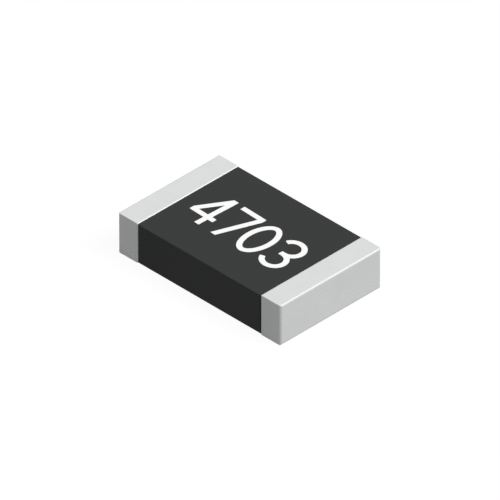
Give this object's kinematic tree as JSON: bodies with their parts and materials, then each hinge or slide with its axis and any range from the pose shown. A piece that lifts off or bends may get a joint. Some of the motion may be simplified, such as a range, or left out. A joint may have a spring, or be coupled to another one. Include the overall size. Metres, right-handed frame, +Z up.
{
  "type": "chip resistor",
  "caption": "Rectangular surface-mount thick-film chip resistor with a black epoxy jacket, a bright tin termination wrapped round each end and a printed value code.",
  "frame": {"origin": "centre of the seating plane, midway between the solder faces of the terminations", "axes": "+X along the chip to its right-hand end, the end that the value code runs towards; +Y across the chip, towards the tops of the digits; +Z up from the board"},
  "size_m": [0.0064, 0.004, 0.0013],
  "materials": {
    "alumina": "matte",
    "printed_silver": "matte",
    "resistor_paste": "satin",
    "overcoat_glass": "gloss",
    "black_epoxy": "satin",
    "fired_silver": "matte",
    "nickel_plating": "satin",
    "tin_plating": "satin",
    "marking_ink": "matte"
  },
  "bodies": {
    "root": {"ceramic_substrate": "alumina", "top_electrode_left": "printed_silver", "top_electrode_right": "printed_silver", "bottom_electrode_left": "printed_silver", "bottom_electrode_right": "printed_silver", "resistor_film": "resistor_paste", "glass_coat": "overcoat_glass", "epoxy_jacket": "black_epoxy", "end_electrode_left": "fired_silver", "end_electrode_right": "fired_silver", "nickel_barrier_left": "nickel_plating", "nickel_barrier_right": "nickel_plating", "tin_cap_left": "tin_plating", "tin_cap_right": "tin_plating"}
  },
  "joints": []
}
